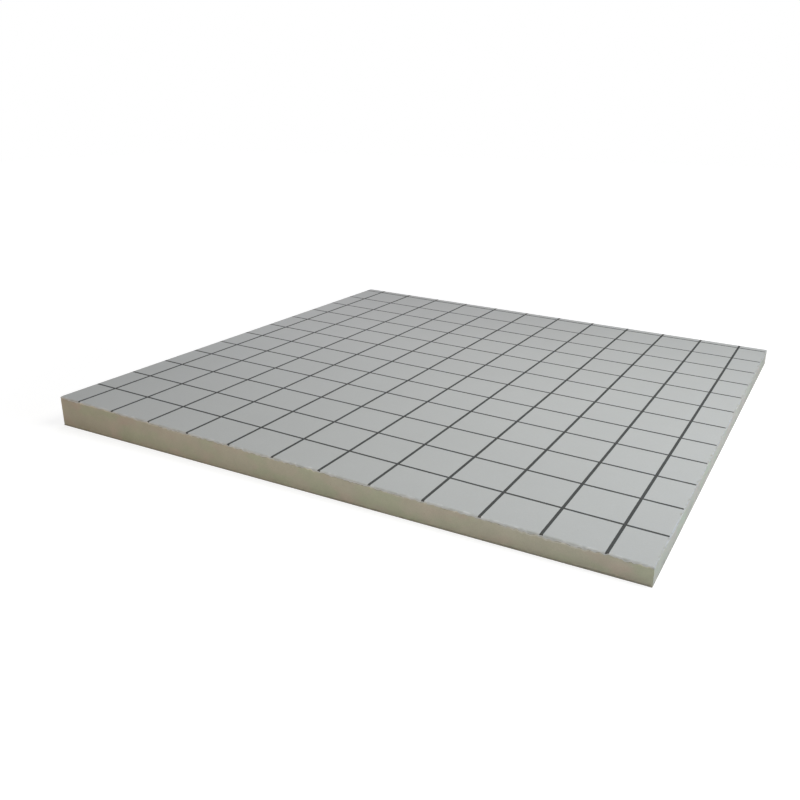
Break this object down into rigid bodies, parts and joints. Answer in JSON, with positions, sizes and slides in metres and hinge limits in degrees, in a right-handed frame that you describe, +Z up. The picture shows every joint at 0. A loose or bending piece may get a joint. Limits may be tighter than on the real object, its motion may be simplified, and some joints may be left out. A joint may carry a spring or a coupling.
{
  "type": "tapered polyiso insulation board",
  "caption": "Square rigid foam roof insulation board with a flat underside, a sloping top and thin facer sheets; the grey upper facer carries a printed setting-out grid.",
  "frame": {"origin": "centre of the flat underside", "axes": "+Z is up from the underside; +X runs down the fall, from the thick edge to the thin edge; +Y runs along those two edges, from the front edge to the back edge"},
  "size_m": [1.2, 1.2, 0.0669],
  "materials": {
    "foam": "sawn closed-cell foam, beige, dull, with a faint cell grain",
    "upper_facer": "matt light grey coated laminate with thin dark grey printed grid lines",
    "lower_facer": "matt grey coated laminate, unprinted"
  },
  "bodies": {
    "root": {"foam_core": "foam", "top_facer": "upper_facer", "bottom_facer": "lower_facer"}
  },
  "joints": []
}
